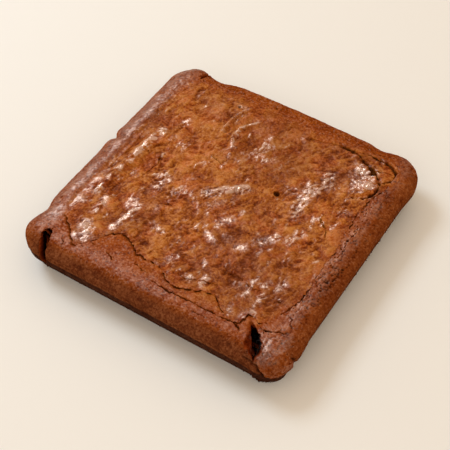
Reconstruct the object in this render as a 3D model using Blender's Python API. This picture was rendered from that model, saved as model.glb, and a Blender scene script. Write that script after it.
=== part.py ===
"""Chocolate brownie: one whole square slab as it comes out of a paper-lined tin, resting on its flat base.

The slab is a grid of a square, wrapped over a rounded outline and down a side profile.  Where the lining
paper was folded at the corners, the crust has split, and wedges cut those splits.
"""

import math

import bmesh
import bpy
from mathutils import Vector

# Driving sizes, in metres
SIDE_X = 0.2000  # across the widest line of the crust, left to right
SIDE_Y = 0.2010  # the same, front to back
CORNER_RADIUS = 0.0190
CREST_HEIGHT = 0.0300  # top of the raised rim
WIDEST_HEIGHT = 0.0240  # the crust bulges furthest out here
LIP_HEIGHT = 0.0115  # the puffed crust ends in a lip; the wall below it stood against the tin
RIM_WIDTH = 0.0140  # from the widest line in to the crest of the rim
LIP_TUCK = 0.0028  # how far the lip curls in from the widest line
LIP_STEP = 0.0008  # how far the wall below stands behind the lip
BASE_EDGE = 0.0012  # worn bottom edge
BASE_INSET = {"left": 0.0065, "right": 0.0045, "front": 0.0075, "back": 0.0060}
INNER_DIP = 0.0012  # the middle sinks a little as the cake cools

# Mesh density
TOP_CELLS = 44
TOP_EDGE_INSET = 0.0026  # where the top grid hands over to the side rows
SHOULDER_ROWS = 4
BULGE_ROWS = 5

# Dents and swellings of the outline: (x, y, reach, amount outwards)
OUTLINE_WAVES = (
    (-0.100, 0.0170, 0.0050, 0.0008),
    (-0.100, 0.0100, 0.0034, -0.0026),
    (-0.100, 0.0030, 0.0060, 0.0009),
    (-0.100, -0.0680, 0.0075, -0.0030),
    (-0.100, -0.0850, 0.0090, 0.0008),
    (-0.086, 0.0990, 0.0080, 0.0016),
    (-0.066, 0.1005, 0.0110, -0.0045),
    (0.0640, 0.1005, 0.0080, -0.0030),
    (0.0820, 0.1000, 0.0090, 0.0012),
    (0.1000, 0.0780, 0.0100, 0.0012),
    (0.1000, -0.0730, 0.0100, 0.0014),
    (0.0900, -0.1000, 0.0110, 0.0014),
)

# Ridges of the skin: (start, end, half width, height), each a rounded fold between two points
FOLDS = (
    ((-0.0905, -0.0550), (-0.0895, 0.0800), 0.0042, 0.0009),
    ((-0.0835, -0.0600), (-0.0830, 0.0600), 0.0026, -0.0008),
    ((-0.0765, -0.0400), (-0.0740, 0.0230), 0.0026, 0.0010),
    ((-0.0290, 0.0800), (-0.0285, 0.0520), 0.0030, 0.0009),
    ((-0.0285, 0.0520), (-0.0190, 0.0370), 0.0030, 0.0009),
    ((-0.0230, 0.0620), (-0.0185, 0.0430), 0.0022, 0.0008),
    ((-0.0110, 0.0010), (0.0060, 0.0150), 0.0030, 0.0009),
    ((0.0350, 0.0820), (0.0560, 0.0810), 0.0040, 0.0007),
    ((0.0560, 0.0810), (0.0790, 0.0720), 0.0040, 0.0009),
)

# Domes and hollows of the top: (x, y, radius, height)
SWELLS = (
    (0.0700, 0.0600, 0.0130, 0.0016),
    (0.0480, 0.0400, 0.0120, 0.0010),
    (-0.0620, -0.0710, 0.0110, 0.0013),
    (0.0640, -0.0730, 0.0080, 0.0012),
    (-0.0420, 0.0300, 0.0240, 0.0008),
    (0.0260, 0.0230, 0.0060, -0.0009),
    (0.0050, -0.0400, 0.0240, -0.0010),
    (0.0420, -0.0150, 0.0180, 0.0007),
    (0.0150, 0.0650, 0.0200, -0.0008),
    (-0.0500, -0.0350, 0.0160, -0.0008),
)

# Splits at the paper folds: path over the top (x, y), half width, height of the floor, width kept at the floor
SPLITS = {
    "front_left": (((-0.0815, -0.0815), (-0.0790, -0.0910), (-0.0745, -0.1060)), 0.0027, 0.0120, 0.45),
    "front_right": (((0.0655, -0.0765), (0.0740, -0.0860), (0.0805, -0.0965)), 0.0033, 0.0125, 0.40),
    "back_left": (((-0.0780, 0.0885), (-0.0775, 0.0950), (-0.0770, 0.1060)), 0.0016, 0.0130, 0.50),
}
SPLIT_TOP = 0.0360  # the wedges start above the crust
SPLIT_STEPS = 8


def clear_scene():
    for item in list(bpy.data.objects):
        bpy.data.objects.remove(item)


def material(name, colour, roughness):
    made = bpy.data.materials.new(name)
    made.use_nodes = True
    shader = made.node_tree.nodes["Principled BSDF"]
    shader.inputs["Base Color"].default_value = (*colour, 1.0)
    shader.inputs["Roughness"].default_value = roughness
    shader.inputs["Metallic"].default_value = 0.0
    return made


def collection(name):
    made = bpy.data.collections.new(name)
    bpy.context.scene.collection.children.link(made)
    return made


def outline(u, v):
    """Point on the widest line and its outward normal, for a point (u, v) on the edge of the unit square."""
    x, y = u * SIDE_X / 2, v * SIDE_Y / 2
    reach_x, reach_y = SIDE_X / 2 - CORNER_RADIUS, SIDE_Y / 2 - CORNER_RADIUS
    centre = Vector((max(-reach_x, min(reach_x, x)), max(-reach_y, min(reach_y, y))))
    normal = (Vector((x, y)) - centre).normalized()
    return centre + normal * CORNER_RADIUS, normal


def wave(point):
    """How far the outline swells out at a point near it."""
    total = 0.0
    for x, y, reach, amount in OUTLINE_WAVES:
        gap = (point.x - x) ** 2 + (point.y - y) ** 2
        total += amount * math.exp(-gap / reach**2)
    return total


def base_inset(normal):
    """The base's inset from the widest line, mixed from the four sides by the way the wall faces."""
    across = BASE_INSET["right"] if normal.x > 0 else BASE_INSET["left"]
    along = BASE_INSET["back"] if normal.y > 0 else BASE_INSET["front"]
    return across * normal.x**2 + along * normal.y**2


def shoulder_height(inset):
    """Height of the rounded shoulder, an elliptic arc from the widest line in to the crest."""
    run = max(0.0, 1.0 - inset / RIM_WIDTH)
    return WIDEST_HEIGHT + (CREST_HEIGHT - WIDEST_HEIGHT) * math.sqrt(1.0 - run * run)


def edge_distance(x, y):
    """Distance in from the widest line."""
    gap_x = abs(x) - (SIDE_X / 2 - CORNER_RADIUS)
    gap_y = abs(y) - (SIDE_Y / 2 - CORNER_RADIUS)
    outside = math.hypot(max(gap_x, 0.0), max(gap_y, 0.0))
    return CORNER_RADIUS - outside - min(max(gap_x, gap_y), 0.0)


def fold_height(x, y):
    total = 0.0
    for start, end, half_width, height in FOLDS:
        begin, run = Vector(start), Vector(end) - Vector(start)
        share = max(0.0, min(1.0, (Vector((x, y)) - begin).dot(run) / run.length_squared))
        gap = (Vector((x, y)) - begin - run * share).length / half_width
        total += height * math.exp(-gap * gap)
    return total


def swell_height(x, y):
    total = 0.0
    for centre_x, centre_y, radius, height in SWELLS:
        gap = math.hypot(x - centre_x, y - centre_y) / radius
        total += height * math.exp(-gap * gap)
    return total


def top_height(x, y):
    inset = edge_distance(x, y)
    inner = max(0.0, min(1.0, (inset - RIM_WIDTH) / 0.030))
    relief = (fold_height(x, y) + swell_height(x, y)) * min(1.0, inset / (0.5 * RIM_WIDTH))
    return shoulder_height(min(inset, RIM_WIDTH)) - INNER_DIP * inner * inner * (3.0 - 2.0 * inner) + relief


def side_profile(normal):
    """Inset and height of each row of the side, from under the top grid down to the base."""
    rows = []
    start = math.acos(1.0 - TOP_EDGE_INSET / RIM_WIDTH)
    for row in range(1, SHOULDER_ROWS + 1):
        turn = start * (1.0 - row / SHOULDER_ROWS)
        rise = (CREST_HEIGHT - WIDEST_HEIGHT) * math.sin(turn)
        rows.append((RIM_WIDTH * (1.0 - math.cos(turn)), WIDEST_HEIGHT + rise))
    for row in range(1, BULGE_ROWS + 1):
        turn = math.radians(84.0) * row / BULGE_ROWS
        fall = (WIDEST_HEIGHT - LIP_HEIGHT) * math.sin(turn)
        rows.append((LIP_TUCK * (1.0 - math.cos(turn)), WIDEST_HEIGHT - fall))
    inset = base_inset(normal)
    wall_top = LIP_TUCK + LIP_STEP
    rows.append((wall_top, LIP_HEIGHT - 0.0006))
    rows.append((wall_top + (inset - wall_top) * 0.45, LIP_HEIGHT * 0.52))
    rows.append((inset, BASE_EDGE))
    rows.append((inset + BASE_EDGE, 0.0))
    return rows


def place(vert, row, profile_rows):
    """Move a vertex of the unit square grid onto the slab; row 0 is the top grid."""
    u, v = vert.co.x, vert.co.y
    ring = max(abs(u), abs(v))
    if ring < 1e-6:
        vert.co = (0.0, 0.0, top_height(0.0, 0.0))
        return
    point, normal = outline(u / ring, v / ring)
    push = wave(point)
    if row == 0:
        flat = (point - normal * TOP_EDGE_INSET) * ring
        fade = math.exp(-edge_distance(flat.x, flat.y) / RIM_WIDTH)
        moved = flat + normal * push * fade
        vert.co = (moved.x, moved.y, top_height(flat.x, flat.y))
        return
    inset, height = profile_rows(normal)[row - 1]
    share = max(0.0, min(1.0, (height - 0.3 * LIP_HEIGHT) / LIP_HEIGHT))
    moved = point + normal * (push * share - inset)
    vert.co = (moved.x, moved.y, height)


def slab_mesh():
    grid = bmesh.new()
    bmesh.ops.create_grid(grid, x_segments=TOP_CELLS, y_segments=TOP_CELLS, size=1.0)
    layer = grid.verts.layers.int.new("row")
    row_count = len(side_profile(Vector((1.0, 0.0))))
    loop = [edge for edge in grid.edges if edge.is_boundary]
    for row in range(1, row_count + 1):
        grown = bmesh.ops.extrude_edge_only(grid, edges=loop)["geom"]
        for vert in (item for item in grown if isinstance(item, bmesh.types.BMVert)):
            vert[layer] = row
        loop = [item for item in grown if isinstance(item, bmesh.types.BMEdge) and item.is_boundary]
    bmesh.ops.contextual_create(grid, geom=loop)
    for vert in grid.verts:
        place(vert, vert[layer], side_profile)
    bmesh.ops.triangulate(grid, faces=[face for face in grid.faces if len(face.verts) > 4])
    bmesh.ops.recalc_face_normals(grid, faces=grid.faces)
    middle = box_middle(grid)
    bmesh.ops.translate(grid, verts=grid.verts, vec=-middle)
    mesh = bpy.data.meshes.new("brownie")
    grid.to_mesh(mesh)
    grid.free()
    return mesh, middle


def box_middle(grid):
    """Middle of the footprint, so that the origin is below the middle of the slab's box."""
    spans = []
    for axis in range(2):
        values = [vert.co[axis] for vert in grid.verts]
        spans.append((min(values) + max(values)) / 2)
    return Vector((*spans, 0.0))


def along(path, share):
    """Point on a path of three points, as a smooth curve, and its direction."""
    first, middle, last = (Vector(point) for point in path)
    handle = middle * 2.0 - (first + last) * 0.5
    spot = first * (1 - share) ** 2 + handle * 2 * share * (1 - share) + last * share**2
    heading = (handle - first) * (1 - share) + (last - handle) * share
    return spot, heading.normalized()


def split_cutter(name, path, half_width, floor, floor_share, offset):
    """A bent wedge: pointed at its inner end, open at the side, narrower at its floor."""
    wedge = bmesh.new()
    bmesh.ops.create_grid(wedge, x_segments=SPLIT_STEPS, y_segments=2, size=1.0)
    layer = wedge.verts.layers.int.new("floor")
    sheet = list(wedge.faces)
    grown = bmesh.ops.extrude_face_region(wedge, geom=sheet)["geom"]
    for vert in (item for item in grown if isinstance(item, bmesh.types.BMVert)):
        vert[layer] = 1
    for vert in wedge.verts:
        share, across, low = (vert.co.x + 1.0) / 2.0, vert.co.y, vert[layer]
        spot, heading = along(path, share)
        width = half_width * min(1.0, 0.25 + 1.9 * math.sqrt(share)) * (floor_share if low else 1.0)
        side = Vector((-heading.y, heading.x)) * across * width
        rise = floor + 0.004 * (1.0 - share) if low else SPLIT_TOP
        vert.co = (spot.x + side.x - offset.x, spot.y + side.y - offset.y, rise)
    bmesh.ops.recalc_face_normals(wedge, faces=wedge.faces)
    mesh = bpy.data.meshes.new(name)
    wedge.to_mesh(mesh)
    wedge.free()
    return bpy.data.objects.new(name, mesh)


def build():
    clear_scene()
    parts = collection("chocolate_brownie")
    cutters = collection("split_cutters")
    mesh, offset = slab_mesh()
    slab = bpy.data.objects.new("brownie", mesh)
    slab.data.materials.append(material("baked_chocolate_crust", (0.165, 0.052, 0.020), 0.55))
    parts.objects.link(slab)
    for name, (path, half_width, floor, floor_share) in SPLITS.items():
        cutter = split_cutter(f"{name}_split", path, half_width, floor, floor_share, offset)
        cutter.hide_render = True
        cutter.display_type = "WIRE"
        cutters.objects.link(cutter)
        cut = slab.modifiers.new(f"{name}_split", "BOOLEAN")
        cut.operation = "DIFFERENCE"
        cut.solver = "EXACT"
        cut.object = cutter
    slab.data.shade_smooth()


build()
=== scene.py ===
"""Looks of the chocolate brownie: a whole slab with a crackly glossy skin over a matte, puffed rim.

Three closed shells stand for the one solid: the crumb of the sides and base, the matte rim, and the glossy
skin that lies on it and ends in broken, slightly lifted edges.  Flakes and crumbs are scattered over them.
Lengths are in millimetres until a mesh is made.
"""

import math

import bmesh
import bpy
import numpy as np
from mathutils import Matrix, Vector


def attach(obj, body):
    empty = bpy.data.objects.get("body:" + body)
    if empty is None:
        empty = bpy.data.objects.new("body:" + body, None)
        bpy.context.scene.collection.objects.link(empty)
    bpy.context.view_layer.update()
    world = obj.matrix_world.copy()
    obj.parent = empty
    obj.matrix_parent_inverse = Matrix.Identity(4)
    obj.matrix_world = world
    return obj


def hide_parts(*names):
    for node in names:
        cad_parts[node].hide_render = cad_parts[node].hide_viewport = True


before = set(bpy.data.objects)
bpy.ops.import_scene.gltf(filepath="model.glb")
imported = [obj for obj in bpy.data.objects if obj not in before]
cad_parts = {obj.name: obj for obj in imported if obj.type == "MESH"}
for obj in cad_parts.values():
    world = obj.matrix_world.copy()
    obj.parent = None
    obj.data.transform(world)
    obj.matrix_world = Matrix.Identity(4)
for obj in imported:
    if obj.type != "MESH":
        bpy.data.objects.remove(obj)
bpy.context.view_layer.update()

MM = 0.001

# ==== Sizes of the slab ====
# Close to the CAD part's: the lip is a little higher, the base draws in more, and some dents differ
SIDE_X, SIDE_Y = 200.0, 201.0
CORNER_RADIUS = 19.0
CREST_HEIGHT = 30.0
WIDEST_HEIGHT = 24.0
LIP_HEIGHT = 13.0
RIM_WIDTH = 14.0
LIP_TUCK = 2.8
LIP_STEP = 0.8
BASE_EDGE = 1.2
BASE_INSET = {"left": 6.5, "right": 4.8, "front": 8.0, "back": 6.0}
INNER_DIP = 1.2

# Dents and swellings of the outline: (x, y, reach, amount outwards)
OUTLINE_WAVES = (
    (-100.0, 17.0, 5.0, 0.8), (-100.0, 10.0, 3.4, -2.6), (-100.0, 3.0, 6.0, 0.9),
    (-100.0, -68.0, 7.5, -2.8), (-100.0, -84.0, 8.0, 0.3), (-92.0, -97.0, 8.0, -0.8), (-86.0, 99.0, 8.0, 1.6),
    (-66.0, 100.5, 10.0, -3.4), (66.0, 100.5, 7.0, -1.8), (82.0, 100.0, 8.0, 0.6), (-5.0, 100.5, 56.0, 1.7),
    (100.0, 78.0, 10.0, 1.2), (100.0, -73.0, 10.0, 1.4), (90.0, -100.0, 11.0, 1.4),
)

# ==== Smooth random fields ====
LATTICE = 64
LAYERS_NORM = 1.75**0.5


def gradients(seed):
    """A wrapped lattice of random unit directions."""
    made = np.random.default_rng(seed).normal(size=(LATTICE, LATTICE, LATTICE, 3)).astype(np.float32)
    return made / np.linalg.norm(made, axis=-1, keepdims=True)


def noise(x, y, z, size, seed):
    """Gradient noise of about -1 to 1 whose bumps are about one `size` across."""
    lattice = NOISE_LATTICES[seed % len(NOISE_LATTICES)]
    spot = np.stack([np.asarray(axis, np.float32) / size + 7.31 * seed for axis in (x, y, z)], -1)
    cell = np.floor(spot).astype(int)
    part = spot - cell
    blend = part * part * part * (part * (part * 6.0 - 15.0) + 10.0)
    total = np.zeros(spot.shape[:-1], np.float32)
    for corner in np.ndindex(2, 2, 2):
        step = np.array(corner)
        index = (cell + step) % LATTICE
        pull = lattice[index[..., 0], index[..., 1], index[..., 2]]
        weight = np.prod(np.where(step == 1, blend, 1.0 - blend), axis=-1)
        total += weight * np.sum(pull * (part - step), axis=-1)
    return total * 1.6


def flat_noise(x, y, size, seed):
    return noise(x, y, 0.0 * x, size, seed)


def layered(x, y, size, seed):
    """Flat noise with two finer layers added, each half the size and strength of the one before."""
    total = sum(0.5**layer * flat_noise(x, y, size / 2**layer, seed + layer) for layer in range(3))
    return total / LAYERS_NORM


NOISE_LATTICES = [gradients(seed) for seed in range(4)]


def smooth(low, high, value):
    share = np.clip((value - low) / (high - low), 0.0, 1.0)
    return share * share * (3.0 - 2.0 * share)


def share_of(depth, full):
    """How far a depth goes towards full, from 0 to 1."""
    return np.clip(depth / full, 0, 1)


def bell(distance, reach):
    return np.exp(-((distance / reach) ** 2))


def patch(x, y, centre_x, centre_y, reach):
    return bell(np.hypot(x - centre_x, y - centre_y), reach)


# ==== Shape of the slab ====
REACH_X, REACH_Y = SIDE_X / 2 - CORNER_RADIUS, SIDE_Y / 2 - CORNER_RADIUS

# Rounded folds of the skin: (start, end, half width, height)
FOLDS = (
    ((-90.5, -55.0), (-89.5, 80.0), 4.2, 0.9), ((-83.5, -60.0), (-83.0, 60.0), 2.6, -0.8),
    ((-76.5, -40.0), (-74.0, 23.0), 2.6, 1.0), ((-29.0, 80.0), (-28.5, 52.0), 3.0, 0.9),
    ((-28.5, 52.0), (-19.0, 37.0), 3.0, 0.9), ((-23.0, 62.0), (-18.5, 43.0), 2.2, 0.8),
    ((-11.0, 1.0), (6.0, 15.0), 3.0, 0.9), ((35.0, 82.0), (56.0, 81.0), 4.0, 0.7),
    ((56.0, 81.0), (79.0, 72.0), 4.0, 0.9),
)

# Domes and hollows of the top: (x, y, radius, height)
SWELLS = (
    (72.0, 62.0, 13.0, 1.6), (48.0, 40.0, 12.0, 1.0), (-62.0, -71.0, 11.0, 1.3), (64.0, -73.0, 8.0, 1.2),
    (-42.0, 30.0, 24.0, 0.8), (26.0, 23.0, 6.0, -0.9), (5.0, -40.0, 24.0, -1.0), (42.0, -15.0, 18.0, 0.7),
    (15.0, 65.0, 20.0, -0.8), (-50.0, -35.0, 16.0, -0.8),
)


def outline_point(x, y):
    """Nearest point of the widest line and the way out there, for a plan point near the edge."""
    core_x, core_y = np.clip(x, -REACH_X, REACH_X), np.clip(y, -REACH_Y, REACH_Y)
    away = np.stack([x - core_x, y - core_y], -1)
    normal = away / np.maximum(np.linalg.norm(away, axis=-1, keepdims=True), 1e-6)
    return np.stack([core_x, core_y], -1) + normal * CORNER_RADIUS, normal


def edge_distance(x, y):
    gap_x, gap_y = np.abs(x) - REACH_X, np.abs(y) - REACH_Y
    outside = np.hypot(np.maximum(gap_x, 0.0), np.maximum(gap_y, 0.0))
    return CORNER_RADIUS - outside - np.minimum(np.maximum(gap_x, gap_y), 0.0)


def outline_push(point):
    total = np.zeros(point.shape[:-1])
    for x, y, reach, amount in OUTLINE_WAVES:
        total += amount * patch(point[..., 0], point[..., 1], x, y, reach)
    return total


def shoulder_height(inset):
    run = np.clip(1.0 - inset / RIM_WIDTH, 0.0, 1.0)
    return WIDEST_HEIGHT + (CREST_HEIGHT - WIDEST_HEIGHT) * np.sqrt(1.0 - run * run)


def along_line(x, y, start, end):
    """Distance to a straight piece of line and the share of the way along it."""
    run_x, run_y = end[0] - start[0], end[1] - start[1]
    share = ((x - start[0]) * run_x + (y - start[1]) * run_y) / (run_x**2 + run_y**2)
    share = np.clip(share, 0.0, 1.0)
    return np.hypot(x - start[0] - share * run_x, y - start[1] - share * run_y), share


def top_height(x, y):
    """The top without its fine relief: shoulder, sunk middle, folds and swells."""
    inset = edge_distance(x, y)
    relief = np.zeros(np.shape(x))
    for start, end, half_width, height in FOLDS:
        relief += height * bell(along_line(x, y, start, end)[0], half_width)
    for centre_x, centre_y, radius, height in SWELLS:
        relief += height * patch(x, y, centre_x, centre_y, radius)
    relief *= np.clip(inset / (0.5 * RIM_WIDTH), 0.0, 1.0)
    dip = INNER_DIP * smooth(0.0, 30.0, inset - RIM_WIDTH)
    return shoulder_height(np.minimum(inset, RIM_WIDTH)) - dip + relief


# ==== Cracks, pores and splits ====
# Cracks: (half width, depth, points), as they run over the top
RIM_CRACKS = (
    (0.40, 1.2, ((-5, -82), (8, -84), (20, -84), (35, -83), (48, -83), (57, -82), (62, -84), (65, -86))),
    (0.55, 1.5, ((73, -77), (78, -77.5), (83, -75), (88, -72), (91, -69))),
    (0.35, 1.0, ((56, 91.5), (66, 91), (75, 90.5))),
    (0.30, 0.9, ((88, 62), (90, 56), (90, 50), (91, 44))),
    (0.45, 1.2, ((85, -35), (84, -45), (82, -55), (79, -62))),
    (0.30, 1.0, ((86, 24), (88, 18), (86, 10), (88, 2), (87, -6))),
    (0.30, 0.8, ((-40, -79), (-36, -80), (-33, -83))),
    (0.30, 0.8, ((-20, -77), (-12, -79), (-7, -79))),
    (0.25, 0.7, ((-55, -77), (-50, -79), (-46, -79))),
    (0.25, 0.6, ((20, 91), (34, 92), (46, 91))),
    (0.30, 0.8, ((83, -60), (87, -62), (88, -66), (92, -68))),
    (0.30, 0.9, ((72, -99), (78, -98), (83, -99), (87, -98))),
    (0.25, 0.7, ((-60, 90), (-48, 92), (-38, 91))),
    (0.25, 0.7, ((30, -88), (36, -89), (41, -88))),
    (0.25, 0.7, ((-72, -84), (-68, -88), (-66, -92))),
)
SKIN_CRACKS = (
    (0.90, 2.0, ((18, 79), (30, 81.5), (40, 83), (50, 83), (57, 81), (64, 78), (70, 74), (76, 70), (81, 65),
                 (82.5, 59), (81.5, 52.5), (77.5, 47), (70, 44.5))),
    (0.80, 1.9, ((60, 86), (68, 86), (76, 85.5), (83, 83), (87, 78.5), (87.5, 73.5), (85, 69), (81, 66))),
    (0.35, 1.0, ((74, 73), (79, 76), (85, 77))),
    (0.25, 0.7, ((-30, 28), (-22, 26), (-14, 23))),
    (0.25, 0.7, ((30, -52), (42, -50), (52, -54), (60, -52))),
    (0.30, 0.8, ((60, 22), (64, 16), (70, 12), (73, 4))),
    (0.25, 0.6, ((-60, 12), (-56, 2), (-58, -8))),
    (0.25, 0.6, ((-46, 70), (-30, 66), (-22, 64))),
    (0.25, 0.7, ((8, -69), (14, -70), (24, -66), (36, -63))),
)

# Round pits left by single bubbles: (x, y, radius, depth)
PITS = (
    (26.0, 23.0, 2.2, 2.8), (-15.0, 91.0, 0.9, 1.4), (73.0, -54.0, 0.9, 1.3), (57.0, -12.0, 0.7, 0.9),
    (-93.5, -57.0, 0.9, 1.0), (-97.0, -25.0, 1.0, 1.0), (91.0, -25.0, 1.1, 1.8), (86.0, 11.0, 1.0, 1.2),
    (4.0, 30.0, 0.7, 0.8), (-38.0, 79.0, 1.3, 0.9), (-68.0, 8.0, 0.7, 0.7),
)

# Splits at the paper folds: path of three points, half width at start, middle and low down, height at the
# end, the heights between which it narrows, and how far the ledge along its left wall is sunk
SPLITS = (
    (((-82.6, -82.5), (-79.5, -92.5), (-74.5, -103.5)), (3.3, 3.3, 2.1), 3.0, (24.0, 10.0), 0.0),
    (((66.0, -75.5), (76.6, -87.0), (82.0, -98.0)), (1.6, 4.4, 0.5), 11.0, (28.9, 27.0), 0.42),
    (((-78.0, 88.5), (-77.5, 95.0), (-77.0, 104.0)), (0.8, 1.6, 0.9), 12.0, (24.0, 12.0), 0.0),
)


def line_distance(x, y, points):
    """Distance to a line through points, and the share of its length there."""
    best, where = np.full(np.shape(x), 1e3), np.zeros(np.shape(x))
    count = len(points) - 1
    for index in range(count):
        gap, share = along_line(x, y, points[index], points[index + 1])
        nearer = gap < best
        best = np.where(nearer, gap, best)
        where = np.where(nearer, (index + share) / count, where)
    return best, where


def crack_depths(x, y, cracks, seed):
    """Depth of the cracks at each point, and how raised their lips are; they wander, widen and close up."""
    shake_x = 0.9 * layered(x, y, 5.0, seed) + 0.8 * flat_noise(x, y, 2.0, seed + 2)
    shake_y = 0.9 * layered(x, y, 5.0, seed + 1) + 0.8 * flat_noise(x, y, 2.0, seed + 3)
    openness = np.clip(0.95 + 0.9 * flat_noise(x, y, 3.6, seed + 4), 0.3, 1.5)
    depth, lips = np.zeros(np.shape(x)), np.zeros(np.shape(x))
    for half_width, deepest, points in cracks:
        gap, share = line_distance(x + shake_x, y + shake_y, points)
        taper = np.clip(6.0 * share * (1.0 - share), 0.0, 1.0) ** 0.5 * openness
        width = np.maximum(half_width * taper, 0.05)
        cut = 1.0 - smooth(0.35 * width, 1.7 * width, gap)
        depth = np.maximum(depth, deepest * np.minimum(taper, 1.2) * cut)
        lips = np.maximum(lips, 0.25 * taper * bell(gap - 2.2 * half_width, 1.6 * half_width))
    return depth, lips


def pit_depths(x, y, pits):
    depth = np.zeros(np.shape(x))
    for centre_x, centre_y, radius, deepest in pits:
        near = (np.abs(x - centre_x) < 2 * radius) & (np.abs(y - centre_y) < 2 * radius)
        gap = np.hypot(x[near] - centre_x, y[near] - centre_y) / radius
        depth[near] = np.maximum(depth[near], deepest * (1.0 - smooth(0.45, 1.15, gap)))
    return depth


def carve_splits(spot):
    """Push the surface inside each split back onto its sloping floor; returns how deep in a split it is,
    which the material paints as shade.
    """
    inside = np.zeros(len(spot))
    for path, half_widths, end_height, narrowing, ledge_share in SPLITS:
        first, middle, last = (np.array(point) for point in path)
        handle = 2.0 * middle - (first + last) / 2.0
        curve = [first * (1 - t) ** 2 + handle * 2 * t * (1 - t) + last * t**2
                 for t in np.linspace(0, 1, 13)]
        gap, share = line_distance(spot[:, 0], spot[:, 1], curve)
        ahead = (last - first) / np.linalg.norm(last - first)
        wave = 1.0 + 0.30 * noise(*spot.T, 4.0, 5) + 0.16 * noise(*spot.T, 1.6, 6)
        lower = smooth(*narrowing, spot[:, 2])
        widths = (0.0, *half_widths[:2], 0.8 * half_widths[1], half_widths[2])
        width = np.interp(share, (0.0, 0.12, 0.5, 0.8, 1.0), widths)
        width = np.maximum((width * (1 - lower) + half_widths[2] * lower) * wave, 0.05)
        reach = np.linspace(0, 40, 400)
        foot = edge_distance(*(first + ahead * reach[:, None]).T) < base_inset(ahead) * 0.5 + 2.0
        run = float(reach[np.argmax(foot)])
        top = top_height(first[0], first[1]) + 0.2
        slope = np.array([run, end_height - top]) / math.hypot(run, end_height - top)
        out = np.array([*(ahead * -slope[1]), slope[0]])
        depth = (spot - [*first, top]) @ out
        beside = ahead[0] * (spot[:, 1] - first[1]) - ahead[1] * (spot[:, 0] - first[0]) < 0.0
        ledge = ledge_share * (1.0 - smooth(0.9, 2.0, gap / width)) * beside
        steep = 1.0 + 0.5 * beside * (ledge_share > 0.0)
        pull = np.maximum(1.0 - smooth(0.72, 1.0, gap / width * steep), ledge)
        pull *= (depth > 0.0) * (share > 0.0)
        depth = depth * (1.05 + 0.25 * noise(*spot.T, 2.5, 7))
        depth += 3.0 * smooth(0.02, 0.25, share) * smooth(1.0, 5.0, depth) * (1.0 - (gap / width) ** 2)
        spot -= out * (depth * pull)[:, None]
        inside = np.maximum(inside, pull * smooth(0.5, 7.0, depth))
    return inside


# ==== Relief ====
def crumb_relief(x, y, z):
    """Uneven surface of the baked crumb: swells, lumps and grain."""
    relief = 0.35 * noise(x, y, z, 16.0, 11) + 0.20 * noise(x, y, z, 6.0, 12)
    relief += 0.22 * noise(x, y, z, 2.6, 13) + 0.12 * noise(x, y, z, 1.4, 14)
    return relief


def rim_pits():
    """Pores of the rim, thickest on its right side."""
    draw = np.random.default_rng(41)
    pits = []
    for low, high, count, biggest in (
        ((83, -60), (96, 62), 230, 0.62), ((85, -34), (95, -8), 70, 0.85), ((-60, -96), (88, -74), 110, 0.50),
        ((-97, -60), (-86, 84), 60, 0.50), ((-80, 84), (84, 98), 170, 0.55), ((70, -96), (98, -70), 70, 0.55),
        ((-96, -98), (-80, -72), 30, 0.5),
    ):
        spots = draw.uniform(low, high, size=(count, 2))
        sizes = draw.uniform(0.28, biggest, size=count)
        pits += [(x, y, size, 1.3 * size) for (x, y), size in zip(spots, sizes)]
    return pits


RIM_PITS = rim_pits()

# The wrinkles of the skin run this far round from the front-to-back line, in radians
WRINKLE_TURN = 0.45


def skin_relief(x, y):
    """Bumps and wrinkles of the glossy skin; the wrinkles run along the pull of the cooling cake."""
    bend_x = x + 5.0 * flat_noise(x, y, 34.0, 21) + 1.5 * flat_noise(x, y, 8.0, 22)
    bend_y = y + 5.0 * flat_noise(x, y, 34.0, 23) + 1.5 * flat_noise(x, y, 8.0, 24)
    relief = 0.50 * flat_noise(x, y, 14.0, 25)
    across = bend_x * math.cos(WRINKLE_TURN) - bend_y * math.sin(WRINKLE_TURN)
    along = bend_x * math.sin(WRINKLE_TURN) + bend_y * math.cos(WRINKLE_TURN)
    humps = np.abs(flat_noise(across, along / 1.7, 6.0, 27)) - 0.26
    small = np.abs(flat_noise(across, along / 1.5, 3.0, 28)) - 0.26
    where = smooth(-0.35, 0.40, flat_noise(x, y, 20.0, 29))
    relief += (1.5 * humps - 1.20 * small) * (0.45 + 0.55 * where)
    return relief + 0.07 * flat_noise(x, y, 1.4, 30)


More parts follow.
